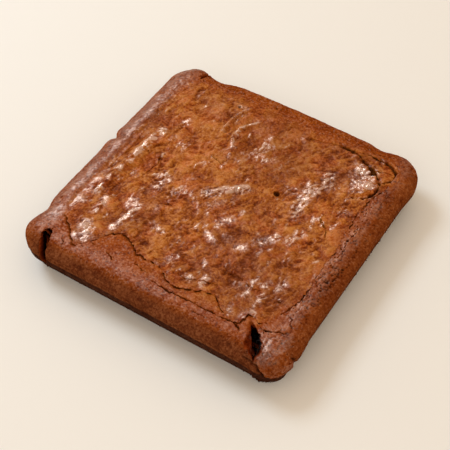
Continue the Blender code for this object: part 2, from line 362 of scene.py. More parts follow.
# Long folds of the skin: (half width, height, points); below 0 they are grooves
SKIN_FOLDS = (
    (6.0, 1.9, ((-69, 34), (-71, 8), (-73, -12), (-75.5, -44))),
    (2.0, -1.1, ((-80, 30), (-81, 0), (-81.5, -30))),
    (2.6, 0.9, ((-82, -14), (-83.5, -38), (-82, -62))), (2.8, 1.0, ((-66, -38), (-67, -47), (-66, -55))),
    (2.8, 1.0, ((-46, -34), (-46, -48), (-50, -62))), (1.6, 0.8, ((-38, -60), (-36, -52), (-33, -46))),
    (1.9, 1.5, ((-29, 84), (-33, 76), (-36, 67), (-36.5, 59), (-34, 50), (-28.5, 43))),
    (1.5, -1.0, ((-26, 82), (-30, 74), (-32.5, 66), (-33, 58), (-31, 50), (-26, 44))),
    (1.9, 1.6, ((-16, 76), (-21, 68), (-25.5, 61), (-26, 53), (-24, 46), (-19, 40))),
    (1.4, -0.9, ((-15, 70), (-19.5, 63), (-22.5, 58), (-23, 52), (-20.5, 45))),
    (1.3, 0.8, ((-41, 64), (-42, 54), (-38, 44))),
    (2.4, 1.1, ((-13, -1), (-5, 5), (7, 16))), (1.2, -0.7, ((-10, -3), (-2, 2), (8, 11))),
    (1.6, 0.7, ((-62, 30), (-58, 14), (-60, 0))), (1.5, 0.7, ((-50, 12), (-46, 0), (-48, -12))),
    (1.4, 0.7, ((-34, -24), (-30, -34), (-24, -40))), (1.5, 0.7, ((8, -28), (14, -34), (22, -36))),
    (1.3, 0.7, ((22, -56), (26, -64), (24, -70))), (1.4, 0.7, ((36, 50), (43, 40), (45, 28))),
    (1.5, 0.7, ((50, 60), (54, 50), (52, 40))), (1.4, 0.6, ((52, 6), (58, -4), (56, -14))),
    (1.5, 0.8, ((-4, 70), (0, 62), (8, 56))), (1.4, 0.7, ((12, 78), (22, 74), (30, 76))),
)


def skin_folds(x, y):
    """Height of the long folds, which waver and break up along their length."""
    shake_x = x + 1.5 * layered(x, y, 11.0, 35) + 0.35 * flat_noise(x, y, 2.2, 36)
    shake_y = y + 1.5 * layered(x, y, 11.0, 37)
    broken = np.clip(0.90 + 0.6 * flat_noise(x, y, 6.0, 38), 0.45, 1.3)
    total = np.zeros(np.shape(x))
    for half_width, height, points in SKIN_FOLDS:
        gap, share = line_distance(shake_x, shake_y, points)
        total += height * bell(gap, half_width) * np.clip(5.0 * share * (1.0 - share), 0.0, 1.0)
    return total * broken


# ==== Meshes ====
def square_to_outline(u, v, inset):
    """The unit square's edge laid on the slab's outline, that far inside the widest line."""
    point, normal = outline_point(u * SIDE_X / 2, v * SIDE_Y / 2)
    return point - normal * inset


def ring_of(u, v):
    """Which ring of the square a point is on, and the edge point it lies towards."""
    ring = np.maximum(np.abs(u), np.abs(v))
    safe = np.maximum(ring, 1e-9)
    return ring, u / safe, v / safe


def pushed(x, y):
    """Plan points moved with the dents and swellings of the outline."""
    point, normal = outline_point(x, y)
    fade = 1.0 - smooth(4.0, 18.0, edge_distance(x, y))
    return np.stack([x, y], -1) + normal * (outline_push(point) * fade)[..., None]


def placed(name, data):
    """A new object with that data, in the scene."""
    item = bpy.data.objects.new(name, data)
    bpy.context.scene.collection.objects.link(item)
    return item


def vertex_array(grid):
    return np.array([vert.co for vert in grid.verts])


def refine(grid, wanted):
    """Halve the cells whose corners are all wanted."""
    grid.verts.ensure_lookup_table()
    cells = [face for face in grid.faces if all(wanted[vert.index] for vert in face.verts)]
    edges = dict.fromkeys(edge for face in cells for edge in face.edges)
    bmesh.ops.subdivide_edges(grid, edges=list(edges), cuts=1, use_grid_fill=True)
    grid.verts.index_update()


def lid(cells, plan, detail, skirt_rows):
    """A grid of the unit square, finer where detail is wanted, with skirt rows grown from its edge."""
    grid = bmesh.new()
    bmesh.ops.create_grid(grid, x_segments=cells, y_segments=cells, size=1.0)
    grid.verts.index_update()
    spots = vertex_array(grid)
    refine(grid, detail(*plan(spots[:, 0], spots[:, 1])))
    corners = [edge.link_loops[0] for edge in grid.edges if edge.is_boundary]
    following = {corner.vert: corner.link_loop_next.vert for corner in corners}
    ring = [corners[0].vert]
    while following[ring[-1]] != ring[0]:
        ring.append(following[ring[-1]])
    # The skirt is made face by face, because Blender's extrude numbers its faces differently in each run
    rows = [0] * len(grid.verts)
    for row in range(1, skirt_rows + 1):
        grown = [grid.verts.new(vert.co) for vert in ring]
        rows += [row] * len(ring)
        for place, vert in enumerate(ring):
            grid.faces.new((vert, ring[place - 1], grown[place - 1], grown[place]))
        ring = grown
    grid.faces.new(ring[::-1])
    return grid, vertex_array(grid), np.array(rows)


def finish_mesh(name, grid, spots, fields):
    """The mesh at its final places, in metres, with its named fields for the material."""
    mesh = bpy.data.meshes.new(name)
    bmesh.ops.triangulate(grid, faces=[face for face in grid.faces if len(face.verts) > 4])
    grid.to_mesh(mesh)
    grid.free()
    mesh.vertices.foreach_set("co", ((spots - [*BOX_MIDDLE, 0.0]) * MM).astype(np.float32).ravel())
    for field, values in fields.items():
        made = mesh.attributes.new(field, "FLOAT", "POINT")
        made.data.foreach_set("value", values.astype(np.float32))
    mesh.update()
    made = bmesh.new()
    made.from_mesh(mesh)
    bmesh.ops.recalc_face_normals(made, faces=made.faces)
    made.to_mesh(mesh)
    made.free()
    mesh.shade_smooth()
    return placed(name, mesh)


# The side: columns round the outline, rows down the profile ----
COLUMN_PITCH = 0.80
CRACK_DARK, PIT_DARK = 1.2, 0.8  # depths at which cracks and pits are at their darkest
SIDE_TOP_INSET = 13.5
HIDDEN_TOP = 19.0  # the side and the rim both run on down to here, out of sight
LID_INSET = 10.5
ROW_PITCH = 0.62
SIDE_PITS = 520
CRUMBS_ABOVE = 1.5  # lower down, a crumb would reach through the floor


def walk_outline():
    """Columns round the outline, closer together at the splits: edge points and normals."""
    turn = np.linspace(-1.0, 1.0, 1000, endpoint=False)
    ones = np.ones_like(turn)
    u = np.concatenate([turn, ones, -turn, -ones])
    v = np.concatenate([-ones, turn, ones, -turn])
    point, _ = outline_point(u * SIDE_X / 2, v * SIDE_Y / 2)
    step = np.linalg.norm(np.roll(point, -1, 0) - point, axis=1)
    ends = [path[2] for path, *_ in SPLITS]
    close = sum(patch(point[:, 0], point[:, 1], x, y, 10.0) for x, y in ends)
    travel = np.concatenate([[0.0], np.cumsum(step * (1.0 + 1.6 * close))])
    marks = np.linspace(0.0, travel[-1], int(travel[-1] / COLUMN_PITCH), endpoint=False)
    looped = np.vstack([point, point[:1]])
    x, y = (np.interp(marks, travel, looped[:, axis]) for axis in range(2))
    return outline_point(x, y)


def side_rows():
    """The side's profile as evenly spaced rows: inset, share of the base's inset, and height."""
    turn = np.linspace(math.pi / 2, 0.0, 60)
    start = math.acos(1.0 - SIDE_TOP_INSET / RIM_WIDTH)
    turn = turn[turn <= start]
    rise = CREST_HEIGHT - WIDEST_HEIGHT
    shoulder = [(RIM_WIDTH * (1 - math.cos(t)), 0.0, WIDEST_HEIGHT + rise * math.sin(t))
                for t in turn]
    bulge = [(LIP_TUCK * (1 - math.cos(t)), 0.0, WIDEST_HEIGHT - (WIDEST_HEIGHT - LIP_HEIGHT) * math.sin(t))
             for t in np.linspace(0.02, math.radians(84.0), 60)]
    wall = LIP_TUCK + LIP_STEP
    low = [(wall, 0.0, LIP_HEIGHT - 0.6), (wall * 0.55, 0.45, LIP_HEIGHT * 0.52),
           (0.0, 1.0, BASE_EDGE + 0.3), (0.15, 1.0, 0.55), (0.5, 1.0, 0.12), (BASE_EDGE, 1.0, 0.0)]
    rows = np.array(shoulder + bulge + low)
    lengths = np.hypot(np.diff(rows[:, 0] + 6.0 * rows[:, 1]), np.diff(rows[:, 2]))
    travel = np.concatenate([[0.0], np.cumsum(lengths)])
    marks = np.linspace(0.0, travel[-1], int(travel[-1] / ROW_PITCH))
    return np.stack([np.interp(marks, travel, rows[:, axis]) for axis in range(3)], -1)


def base_inset(normal):
    """How far the base draws in, by the way its edge faces."""
    across = np.where(normal[..., 0] > 0, BASE_INSET["right"], BASE_INSET["left"])
    along = np.where(normal[..., 1] > 0, BASE_INSET["back"], BASE_INSET["front"])
    return across * normal[..., 0] ** 2 + along * normal[..., 1] ** 2


def torn_corner(x, y):
    return patch(x, y, 86.0, -98.0, 7.5)


def puffed_lobe(x, y, z, inset):
    """The lobe of crumb swollen over the right split's foot at the front corner, and the seam round it."""
    along = (x + y - 2.0) / 16.0 + 0.22 * noise(x, y, z, 8.0, 8)
    gap = np.hypot(along, (z - 25.0 + 0.35 * (x + y - 2.0)) / 11.0)
    gap += 0.12 * noise(x, y, z, 4.0, 9) + 0.04 * noise(x, y, z, 1.5, 9)
    near = (x > 60.0) * (y < -70.0) * smooth(9.5, 5.0, inset)
    return near * smooth(1.04, 0.90, gap), near * bell(gap - 1.10, 0.08) * smooth(28.0, 24.0, z)


def grid_normals(spots):
    """Outward normals of a looped grid of points, rows by columns."""
    down = np.gradient(spots, axis=0)
    around = (np.roll(spots, -1, 1) - np.roll(spots, 1, 1)) / 2.0
    normal = np.cross(down, around)
    return normal / np.maximum(np.linalg.norm(normal, axis=-1, keepdims=True), 1e-9)


def painted_shoulder_shade(x, y, inset):
    """Painted shade on the shoulder, growing from the crest out: most at the front, less at the right, least
    left and back.
    """
    normal = outline_point(x, y)[1]
    front, right = np.clip(-normal[..., 1], 0.0, 1.0) ** 2, np.clip(normal[..., 0], 0.0, 1.0) ** 2
    wander = inset + 0.9 * flat_noise(x, y, 9.0, 19)
    return (0.12 + 0.80 * front + 0.45 * right) * smooth(13.5, 3.5, wander)


def side_spots():
    """Places of the side's grid with its relief, and fields for its material."""
    point, normal = walk_outline()
    rows = side_rows()
    flat_inset = rows[:, None, 0] + rows[:, None, 1] * base_inset(normal)[None]
    height = np.repeat(rows[:, 2][:, None], len(point), 1)
    flat = point[None] - normal[None] * flat_inset[..., None]
    plan = flat[..., 0], flat[..., 1]
    lip = LIP_HEIGHT + 2.5 + 6.0 * np.clip(-normal[:, 1], 0.0, 1.0)[None] ** 2
    above = height - lip + 0.6 * noise(*plan, height, 7.0, 18)
    low = smooth(1.2, -1.8, above)
    push = outline_push(point)[None] * np.clip((height - 0.3 * LIP_HEIGHT) / LIP_HEIGHT, 0.0, 1.0)
    fade = np.where(height < WIDEST_HEIGHT, 1.0, 1.0 - smooth(4.0, 18.0, flat_inset))
    top = top_height(*plan)
    height = np.where(flat_inset * (rows[:, 2] > WIDEST_HEIGHT)[:, None] > 0, top, height)
    spots = np.concatenate([flat + normal[None] * (push * fade)[..., None], height[..., None]], -1)
    x, y, z = spots[..., 0], spots[..., 1], spots[..., 2]
    on_top = smooth(WIDEST_HEIGHT + 1.0, WIDEST_HEIGHT + 4.0, z)
    relief = crumb_relief(*plan, z) * (0.55 + 0.45 * on_top)
    relief *= 1.0 - 0.45 * low
    relief += 0.22 * bell(above - 0.8, 0.8) - 0.20 * bell(above + 0.8, 0.9)
    torn = torn_corner(*point.T)[None] * smooth(14.0, 11.0, height)
    lobe, seam = puffed_lobe(*plan, z, flat_inset)
    swollen = 0.9 * lobe - 1.5 * seam
    relief += torn * (0.9 + 1.3 * noise(x, y, z, 3.4, 16) + 0.9 * noise(x, y, z, 1.7, 17))
    cracks, lips = (depth * on_top for depth in crack_depths(*plan, RIM_CRACKS, 31))
    pits = pit_depths(*plan, RIM_PITS + list(PITS)) * on_top
    small = side_pits(point, height)
    keep = smooth(0.0, 1.5, z)
    ripple = 0.10 * noise(x / 0.9, y / 0.9, z / 4.0, 1.3, 15) * low
    lift = (relief + ripple + swollen) * keep + lips - cracks - pits - small * keep
    spots = spots + grid_normals(spots) * lift[..., None]
    spots[-1, :, 2] = 0.0
    # Painted shade: the side darker below the widest line, over its darker crust, and the shoulder darker at
    # the front and right (baked), less on the puffed lobe
    baked = painted_shoulder_shade(*plan, flat_inset)
    side = np.maximum(smooth(25.0, 17.0, z), baked) * (1.0 - 0.5 * lobe)
    crumbly = np.maximum(0.9 * torn, 0.5 * split_mouth(*plan) * on_top) + 0.14 * smooth(3.4, 1.4, z)
    crumbly *= z > CRUMBS_ABOVE
    # Cracks, pits, the seam round the lobe and the torn corner are painted dark in the material, as shade in
    # these hollows over the darker crumb
    fields = {"skin": 0.0 * z, "wall": low * (1.0 - lobe), "side": side, "crumbly": crumbly,
              "crack": np.clip(cracks / CRACK_DARK + 1.2 * seam + 0.9 * torn, 0, 1),
              "pit": share_of(pits + small, PIT_DARK), "raised": relief,
              "gloss": np.maximum(rim_gloss(*plan) * on_top, 0.20 * lobe)}
    return spots, fields


def side_pits(point, height):
    """Small bubbles open on the side."""
    draw = np.random.default_rng(43)
    depth = np.zeros(height.shape)
    columns = len(point)
    for _ in range(SIDE_PITS):
        column, tall = draw.integers(columns), draw.uniform(1.5, 24.0)
        radius = draw.uniform(0.35, 0.75)
        reach = int(3 * radius / COLUMN_PITCH) + 2
        near = np.arange(column - reach, column + reach + 1) % columns
        around = np.linalg.norm(point[near] - point[column], axis=1)
        gap = np.hypot(around[None], height[:, near] - tall) / radius
        depth[:, near] = np.maximum(depth[:, near], 0.8 * radius * (1.0 - smooth(0.4, 1.2, gap)))
    return depth


def make_side():
    spots, fields = side_spots()
    rows, columns = spots.shape[:2]
    inner = spots[0].copy()
    inner[:, :2] *= 0.965
    inner[:, 2] = HIDDEN_TOP
    spots = np.concatenate([inner[None], spots], 0)
    fields = {name: np.concatenate([values[:1], values], 0) for name, values in fields.items()}
    flat_spots = spots.reshape(-1, 3)
    fields = {name: values.reshape(-1) for name, values in fields.items()}
    split = carve_splits(flat_spots)
    fields["split"] = split
    index = np.arange((rows + 1) * columns).reshape(rows + 1, columns)
    after = np.roll(index, -1, 1)
    faces = np.stack([index[:-1], index[1:], after[1:], after[:-1]], -1).reshape(-1, 4).tolist()
    faces.append(index[-1][::-1].tolist())
    faces.append(index[0].tolist())
    shell = bpy.data.meshes.new("side_shell")
    shell.from_pydata(flat_spots.tolist(), [], faces)
    grid = bmesh.new()
    grid.from_mesh(shell)
    bpy.data.meshes.remove(shell)
    return finish_mesh("crust_side", grid, flat_spots, fields)


# The rim: the matte top of the crumb, which runs on under the skin ----
RIM_SUNK = 3.4  # how far it lies below the skin there
RIM_SKIRT_FOOT = 14.0


def rim_plan(u, v):
    ring, edge_u, edge_v = ring_of(u, v)
    edge = square_to_outline(edge_u, edge_v, LID_INSET)
    return (edge * (1.38 * ring - 0.38 * ring**3)[:, None]).T


def near_lines(x, y, cracks, reach):
    wanted = np.zeros(len(x), bool)
    for _, _, points in cracks:
        wanted |= line_distance(x, y, points)[0] < reach
    return wanted


def rim_detail(x, y):
    wanted = near_lines(x, y, RIM_CRACKS, 2.2)
    for path, half_widths, *_ in SPLITS:
        wanted |= line_distance(x, y, path)[0] < half_widths[1] + 2.5
    return wanted


def skin_share(x, y, inside):
    """How much of the skin's own colour shows: it thins out towards the border, in patches."""
    return smooth(-2.5, 2.5, inside - 1.5 + 5.0 * layered(x, y, 6.0, 71))


def skin_tint(x, y, border):
    """How far the crumb has the skin's colour, past the skin's border."""
    sunk = 1.0 - skin_edge_strength(x, y)
    wander = y + 2.0 * flat_noise(x, y, 5.0, 72)
    front = smooth(-84.0, -74.0, wander) * smooth(-60.0, -66.0, y)
    front *= smooth(-30.0, 10.0, x) * smooth(76.0, 66.0, x)
    return np.maximum(skin_share(x, y, -border) * (0.6 + 0.4 * sunk), 0.85 * front)


def rim_gloss(x, y):
    """Where the rim's fine sugar glitters: along the inner crests, most at the left and right."""
    right = 1.0 * bell(x - 88.5, 6.0) * (0.9 + 0.6 * smooth(0.0, -60.0, y))
    left = 2.1 * bell(x + 91.0, 7.0) * smooth(-92.0, -70.0, y)
    front = np.maximum(0.45 * bell(y + 87.0, 7.0), 2.3 * patch(x, y, 84.0, -85.0, 11.0))
    specks = flat_noise(x, y, 1.3, 75) + 0.7 * flat_noise(x, y, 9.0, 76)
    return np.maximum(np.maximum(right, left), front) * np.clip(0.44 + 0.38 * specks, 0.0, 1.0)


def split_mouth(x, y):
    """A narrow strip round the mouth of each split."""
    strip = np.zeros(np.shape(x))
    for path, half_widths, *_ in SPLITS:
        strip = np.maximum(strip, bell(line_distance(x, y, path)[0] - half_widths[1] - 0.4, 0.8))
    return strip


def make_rim():
    grid, uv, row = lid(RIM_CELLS, rim_plan, rim_detail, 2)
    x, y = rim_plan(uv[:, 0], uv[:, 1])
    z = top_height(x, y)
    relief = crumb_relief(x, y, z)
    cracks, lips = crack_depths(x, y, RIM_CRACKS, 31)
    pits = pit_depths(x, y, RIM_PITS + list(PITS))
    height = z + relief + lips - cracks - pits
    border = border_gap(x, y)
    open_edge = smooth(0.15, 0.5, border_at(x, y, BORDER_LIFT) + 0.6 * flat_noise(x, y, 3.6, 73))
    gash = open_edge * bell(border, 0.3 + 0.8 * open_edge)
    height -= 1.1 * gash
    height -= 0.35 * smooth(LID_INSET + 1.5, LID_INSET, edge_distance(x, y))
    shown = 0.5 + 4.5 * (1.0 - skin_edge_strength(x, y))
    height -= RIM_SUNK * smooth(shown, shown + 3.0, -border)
    spots = np.concatenate([pushed(x, y), height[:, None]], -1)
    spots[row == 1, 2] = HIDDEN_TOP
    spots[row == 2, 2] = RIM_SKIRT_FOOT
    split = carve_splits(spots)
    crumbly = 0.5 * split_mouth(x, y) + 0.35 * bell(border - 1.0, 1.0) * open_edge + 0.02
    # The rim's shoulder gets the same painted shade as the side; its cracks, pits and the gash under the
    # skin's open edge are painted dark in the material, as shade in these hollows
    fields = {"skin": skin_tint(x, y, border), "wall": 0.0 * x, "side": painted_shoulder_shade(x, y, edge_distance(x, y)),
              "crumbly": crumbly * (border > 0.0),
              "crack": np.maximum(share_of(cracks, CRACK_DARK), 0.9 * gash),
              "pit": share_of(pits, PIT_DARK), "raised": relief, "gloss": rim_gloss(x, y), "split": split}
    return finish_mesh("matte_rim", grid, spots, fields)


# The skin: a thin crust with broken edges ----
# Its border, anticlockwise from the left: (x, y, lift of the edge); below 0 it sinks out of sight
SKIN_BORDER = (
    (-87, 0, -0.6), (-87, -40, -0.6), (-86, -58, -0.5), (-83, -66, 0.2), (-78, -71, 0.6), (-70, -77, 0.7),
    (-66, -82, 0.6), (-60, -86, 0.4), (-55, -80, 0.2), (-51, -74, 0.1), (-46, -64, 0.4), (-40, -61.5, 1.0),
    (-33, -63, 1.1), (-28, -66, 0.9), (-22, -70, 0.5), (-14, -70, 0.3), (-6, -70, 0.3), (1, -74, 0.4),
    (7, -78, 0.5), (14, -79, 0.5), (22, -75, 0.3), (32, -71, 0.3), (38, -71, 0.3), (44, -76, 0.5),
    (50, -80, 0.2), (57, -82, 0.2), (60, -81, 0.3), (62.5, -77, 0.8), (63, -73, 0.6), (67, -72, 0.3),
    (71, -75, 0.0), (77, -70, -0.1), (79, -60, -0.1), (82, -52, 0.35), (84, -42, 0.1), (84, -30, 0.0),
    (83, -15, 0.1), (84, 0, 0.1), (82, 15, 0.2), (81, 30, 0.2), (81, 44, 0.3), (83, 53, 0.2),
    (86, 60, 0.2), (89, 68, 0.2), (90, 76, 0.2), (88, 83, 0.2), (82, 87, 0.2), (74, 88, 0.1), (62, 88.5, 0.1),
    (52, 87.5, 0.1), (42, 86, -0.1), (34, 85, -0.2), (24, 85, -0.4), (10, 87, -0.6), (-20, 88, -0.6),
    (-50, 88, -0.6), (-76, 86, -0.6), (-85, 78, -0.6), (-87, 50, -0.6),
)
SKIN_MIDDLE = (-20.0, 10.0)
SKIN_THICKNESS = 0.15
SKIN_SKIRT_FOOT = 24.0  # the skin's hidden underside


def border_table():
    """Radius, gentler radius and lift of the skin's border at each angle round its middle."""
    places = np.array(SKIN_BORDER, float)
    angle = np.arctan2(places[:, 1] - SKIN_MIDDLE[1], places[:, 0] - SKIN_MIDDLE[0])
    order = np.argsort(angle)
    places, angle = places[order], angle[order]
    places = np.vstack([places[-1:], places, places[:1]])
    angle = np.concatenate([angle[-1:] - 2 * np.pi, angle, angle[:1] + 2 * np.pi])
    fine = np.linspace(-np.pi, np.pi, 4001)
    x, y, lift = (np.interp(fine, angle, places[:, axis]) for axis in range(3))
    shake = 1.5 * layered(x, y, 6.0, 51) + 1.0 * flat_noise(x, y, 2.4, 52)
    radius = np.hypot(x - SKIN_MIDDLE[0], y - SKIN_MIDDLE[1]) + shake * smooth(-0.2, 0.2, lift)
    window = np.hanning(301) / np.hanning(301).sum()
    gentle = np.convolve(np.concatenate([radius[-151:-1], radius, radius[1:151]]), window, "valid")
    return fine, radius, gentle, lift


BORDER_ANGLE, BORDER_RADIUS, GENTLE_RADIUS, BORDER_LIFT = border_table()


def border_at(x, y, table):
    return np.interp(np.arctan2(y - SKIN_MIDDLE[1], x - SKIN_MIDDLE[0]), BORDER_ANGLE, table)


def border_gap(x, y):
    """How far outside the skin's border a point is, along the line from its middle."""
    return np.hypot(x - SKIN_MIDDLE[0], y - SKIN_MIDDLE[1]) - border_at(x, y, BORDER_RADIUS)


def skin_edge_strength(x, y):
    return smooth(-0.3, 0.2, border_at(x, y, BORDER_LIFT))


def skin_plan(u, v):
    ring, edge_u, edge_v = ring_of(u, v)
    angle = np.arctan2(edge_v, edge_u)
    radius = np.interp(angle, BORDER_ANGLE, BORDER_RADIUS)
    gentle = np.interp(angle, BORDER_ANGLE, GENTLE_RADIUS)
    reach = ring * (gentle + (radius - gentle) * ring**3) / np.maximum(np.hypot(edge_u, edge_v), 1e-9)
    return SKIN_MIDDLE[0] + reach * edge_u, SKIN_MIDDLE[1] + reach * edge_v


def skin_detail(x, y):
    first_pit = np.hypot(x - PITS[0][0], y - PITS[0][1]) < 3.5
    return near_lines(x, y, SKIN_CRACKS, 1.8) | (border_gap(x, y) > -1.6) | first_pit


def make_skin():
    grid, uv, row = lid(SKIN_CELLS, skin_plan, skin_detail, 3)
    x, y = skin_plan(uv[:, 0], uv[:, 1])
    gap = -border_gap(x, y)
    lift = border_at(x, y, BORDER_LIFT)
    lift = np.where(lift > 0, lift * np.clip(0.55 + 0.9 * flat_noise(x, y, 7.0, 74), 0.05, 1.3), lift)
    relief = skin_relief(x, y)
    cracks, lips = crack_depths(x, y, SKIN_CRACKS, 33)
    pits = pit_depths(x, y, PITS)
    raised = SKIN_THICKNESS + (lift - SKIN_THICKNESS) * np.where(lift > 0, bell(gap, 2.6), bell(gap, 7.0))
    gloss, ridges, crumpled = gloss_patches(x, y)
    creases = 0.26 - 1.3 * np.abs(flat_noise(x, y, 4.2, 68))
    relief += crumpled * (0.5 * flat_noise(x, y, 2.2, 69) + creases)
    bare = smooth(2.4, 1.4, line_distance(x, y, BARE_LIP)[0])
    gloss *= (1.0 - bare) * (1.0 - np.clip(cracks / 0.6, 0, 1))
    calm = 1.0 - np.maximum(0.6 * bell(gap, 3.0), 0.95 * ridges)
    folds = skin_folds(x, y)
    height = top_height(x, y) + relief * calm + folds + 0.25 * gloss + raised + lips - cracks - pits
    spots = np.concatenate([pushed(x, y), height[:, None]], -1)
    away = np.stack([x - SKIN_MIDDLE[0], y - SKIN_MIDDLE[1]], -1)
    inward = -away / np.maximum(np.linalg.norm(away, axis=-1, keepdims=True), 1.0)
    # The skirt goes down the broken edge, in under it, and then to the hidden underside
    spots[row == 1, 2] -= 0.28
    spots[row == 2, :2] += 1.1 * inward[row == 2]
    spots[row == 2, 2] -= 0.75 + np.maximum(lift[row == 2], 0.0)
    spots[row == 3, :2] += 2.0 * inward[row == 3]
    spots[row == 3, 2] = SKIN_SKIRT_FOOT
    flaky = skin_share(x, y, gap) * (0.25 + 0.75 * gloss) * (row == 0) * (lift > -0.3)
    depth = 0.30 * layered(x, y, 22.0, 66) - 0.16 * patch(x, y, -5.0, -22.0, 28.0)
    depth += 0.40 * patch(x, y, -50.0, 48.0, 40.0) - 0.48 * patch(x, y, 45.0, -52.0, 30.0)
    depth -= 0.32 * patch(x, y, -55.0, -30.0, 28.0) + 0.38 * patch(x, y, 66.0, 62.0, 26.0)
    # For the material: the relief in raised paints its hollows darker as shade, along with broad patches of
    # tone; cracks and pits are painted dark as shade, and the thickest glossy film pale as a highlight
    fields = {"skin": skin_share(x, y, gap) * smooth(-0.6, 0.0, raised), "wall": 0.0 * x, "side": 0.0 * x,
              "flaky": flaky, "crack": share_of(cracks, CRACK_DARK),
              "pit": share_of(pits, PIT_DARK), "raised": relief + 0.7 * depth + 0.2 * folds + 0.1 * bare,
              "gloss": gloss * np.maximum(smooth(-0.50, -0.05, relief), 0.8 * crumpled), "split": 0.0 * x}
    return finish_mesh("glossy_skin", grid, spots, fields)


# The dull orange lip below the biggest flake
BARE_LIP = ((79.5, 56), (76.5, 50.5), (71, 47.5))

# Places where the skin shines most, and where its thickest film is painted pale as a highlight: (start, end,
# half width, strength)
GLOSS_STREAKS = (
    ((69, 68), (73, 56.5), 10.5, 1.0), ((50, 55), (52, 46), 5.4, 1.0),
    ((47, 40), (44, 28), 5.6, 1.0), ((44, 20), (46, 12), 4.4, 0.9), ((-14, -2), (-4, 5), 4.2, 1.0),
    ((-4, 6), (7, 15), 4.2, 1.0), ((-65, -68), (-60, -74), 5.0, 1.0), ((-64, -80), (-55, -76), 3.6, 1.0),
    ((-67, -42), (-67, -52), 3.0, 1.0), ((-46, -36), (-49, -60), 2.8, 1.0),
    ((-71, 31), (-76, -40), 3.8, 1.0),
    ((-81, -18), (-83, -60), 2.8, 0.8), ((-18, 73), (-25, 62), 1.7, 0.9),
    ((-25, 62), (-25.5, 50), 1.8, 1.0), ((-25.5, 50), (-20, 41), 1.8, 1.0),
    ((-31, 80), (-36, 66), 1.7, 0.7), ((-36, 66), (-35, 52), 1.7, 0.6), ((28, -31), (33, -28), 3.0, 0.9),
    ((1, -55), (-3, -61), 3.2, 0.9), ((25, -62), (26, -68), 3.0, 0.85), ((6, -31), (13, -35), 3.0, 0.8),
    ((58, 2), (54, -10), 3.6, 0.9), ((46, -11), (37, -21), 4.0, 0.9), ((64, -71), (62, -77), 3.6, 1.0),
    ((50, -72), (51, -76), 1.8, 0.6), ((-46, -4), (-44, -14), 3.6, 0.9), ((-34, -29), (-32, -34), 2.4, 0.6),
    ((-30, -42), (-26, -46), 1.8, 0.5), ((-10, 42), (-14, 44), 2.0, 0.6), ((8, 50), (10, 48), 2.4, 0.5),
    ((-3, 66), (-4, 62), 2.2, 0.6), ((15, 76), (18, 74), 2.0, 0.5), ((76, 32), (76, 28), 2.2, 0.6),
    ((-60, 30), (-62, 26), 2.2, 0.4), ((0, -2), (-4, -8), 2.4, 0.4), ((13, -13), (7, -21), 3.6, 0.8),
    ((-6, -70), (-4, -68), 1.6, 0.4), ((-38, 80), (-32, 81), 2.0, 0.5), ((60, -8), (66, -12), 1.6, 0.4),
)


def gloss_patches(x, y):
    """How thickly the glossy film lies, and where it does so on smooth ridges or on crumpled flakes."""
    shake_x = x + 1.3 * layered(x, y, 4.0, 61)
    shake_y = y + 1.3 * layered(x, y, 4.0, 62)
    ridges, crumpled = np.zeros(len(x)), np.zeros(len(x))
    for start, end, half_width, strength in GLOSS_STREAKS:
        gap = along_line(shake_x, shake_y, start, end)[0]
        film = strength * (1.0 - smooth(0.35 * half_width, 1.5 * half_width, gap))
        ridges = np.maximum(ridges, film * (half_width < 3.9))
        crumpled = np.maximum(crumpled, film * (half_width > 3.9))
    bend = x + 3.0 * flat_noise(x, y, 12.0, 65)
    scattered = layered(bend, y / 2.2, 4.6, 63) + 0.40 * flat_noise(x, y, 24.0, 64)
    thin = 0.06 + 0.10 * layered(x, y, 6.0, 67)
    scattered = np.clip(thin + 0.8 * smooth(0.22, 0.62, scattered), 0.0, 0.80)
    return np.maximum(np.maximum(ridges, crumpled), scattered), ridges, crumpled


RIM_CELLS = 256
SKIN_CELLS = 262
EDGE_POINT, EDGE_NORMAL = walk_outline()
WIDEST_LINE = EDGE_POINT + EDGE_NORMAL * outline_push(EDGE_POINT)[:, None]
BOX_MIDDLE = (WIDEST_LINE.min(0) + WIDEST_LINE.max(0)) / 2

side = make_side()
rim = make_rim()
skin = make_skin()


# ==== Materials ====
def linear(hex_colour):
    """An sRGB hex colour as the linear values that the shader takes."""
    parts = [int(hex_colour[start:start + 2], 16) / 255 for start in (1, 3, 5)]
    return [p / 12.92 if p <= 0.04045 else ((p + 0.055) / 1.055) ** 2.4 for p in parts] + [1.0]


def add_node(tree, kind, settings=None, **links):
    """One node: settings by name, inputs by name or index, each a value or another node's output."""
    node = tree.nodes.new(kind)
    for name, value in (settings or {}).items():
        setattr(node, name, value)
    for name, value in links.items():
        key = int(name[1:]) if name[0] == "i" and name[1:].isdigit() else name.replace("_", " ")
        socket = node.inputs[key]
        if isinstance(value, bpy.types.NodeSocket):
            tree.links.new(value, socket)
        else:
            socket.default_value = value
    return node


def times(tree, first, second):
    return add_node(tree, "ShaderNodeMath", {"operation": "MULTIPLY"}, i0=first, i1=second).outputs[0]


def times_plus(tree, first, second, added, clamp=False):
    settings = {"operation": "MULTIPLY_ADD", "use_clamp": clamp}
    return add_node(tree, "ShaderNodeMath", settings, i0=first, i1=second, i2=added).outputs[0]


def highest(tree, first, second):
    return add_node(tree, "ShaderNodeMath", {"operation": "MAXIMUM"}, i0=first, i1=second).outputs[0]


def mixed(tree, share, first, second):
    settings = {"data_type": "RGBA", "clamp_factor": True}
    return add_node(tree, "ShaderNodeMix", settings, i0=share, i6=first, i7=second).outputs[2]


def spread(tree, value, low, high, to_low=0.0, to_high=1.0):
    links = {"i0": value, "i1": low, "i2": high, "i3": to_low, "i4": to_high}
    settings = {"interpolation_type": "SMOOTHSTEP"}
    return add_node(tree, "ShaderNodeMapRange", settings, **links).outputs[0]


def field(tree, name):
    return add_node(tree, "ShaderNodeAttribute", {"attribute_name": name}).outputs["Fac"]


